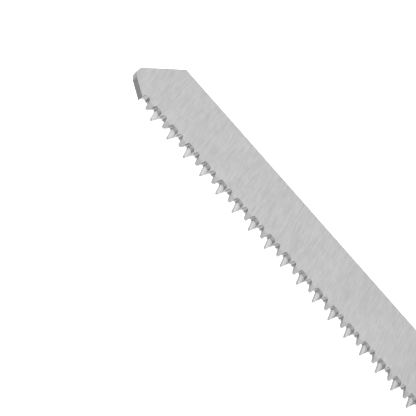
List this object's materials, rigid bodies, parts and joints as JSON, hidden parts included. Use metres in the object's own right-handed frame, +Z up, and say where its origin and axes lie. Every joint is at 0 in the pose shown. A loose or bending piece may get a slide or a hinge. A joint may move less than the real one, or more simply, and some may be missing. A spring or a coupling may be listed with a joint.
{
  "type": "jab saw",
  "caption": "Straight hand saw: bevel-nosed toothed steel blade clamped by a knurled screw in a two-scale wooden grip.",
  "frame": {"origin": "middle of the bounding box along X and Y, at the flat side the saw lies on", "axes": "+X from the blade's nose to the butt of the handle, +Y towards the smooth back of the blade (teeth point to -Y), +Z up through the blade's thickness towards the clamp knob"},
  "size_m": [0.294, 0.0377, 0.0366],
  "materials": {
    "blade_steel": "fine cross-brushed, lightly oiled",
    "liner_steel": "rolled sheet",
    "hard_steel": "turned",
    "brass": "satin",
    "grip_wood": "oiled hardwood"
  },
  "bodies": {
    "handle": {"liner_lower": "liner_steel", "liner_upper": "liner_steel", "spacer": "liner_steel", "scale_lower": "grip_wood", "scale_upper": "grip_wood", "bolster_lower": "brass", "bolster_upper": "brass", "handle_bolts": "brass", "handle_nuts": "brass", "bolster_rivets": "hard_steel", "stop_pin": "hard_steel", "dowel_pins": "hard_steel", "hang_eyelet": "brass", "clamp_bush": "brass", "thrust_washer": "hard_steel"},
    "blade": {"blade": "blade_steel"},
    "clamp_turner": {"clamp_screw": "hard_steel", "clamp_knob": "hard_steel", "knob_pin": "hard_steel", "knob_cap": "brass"},
    "jaw": {"clamp_jaw": "hard_steel", "jaw_pad": "brass", "pad_rivets": "hard_steel"}
  },
  "joints": [
    {"name": "blade_slide", "type": "slide", "parent": "handle", "child": "blade", "axis": [-1, 0, 0], "range_m": [0, 0.046]},
    {"name": "clamp_turn", "type": "hinge", "parent": "handle", "child": "clamp_turner", "pos_m": [0.029, 0.00081, 0.03], "axis": [0, 0, 1], "range_deg": [-90, 270]},
    {"name": "jaw_lift", "type": "slide", "parent": "handle", "child": "jaw", "axis": [0, 0, 1], "range_m": [-0.00026, 0.00076]}
  ],
  "couplings": [
    {"joint": "jaw_lift", "follows": "clamp_turn", "m_per_rad": 0.00015915}
  ]
}
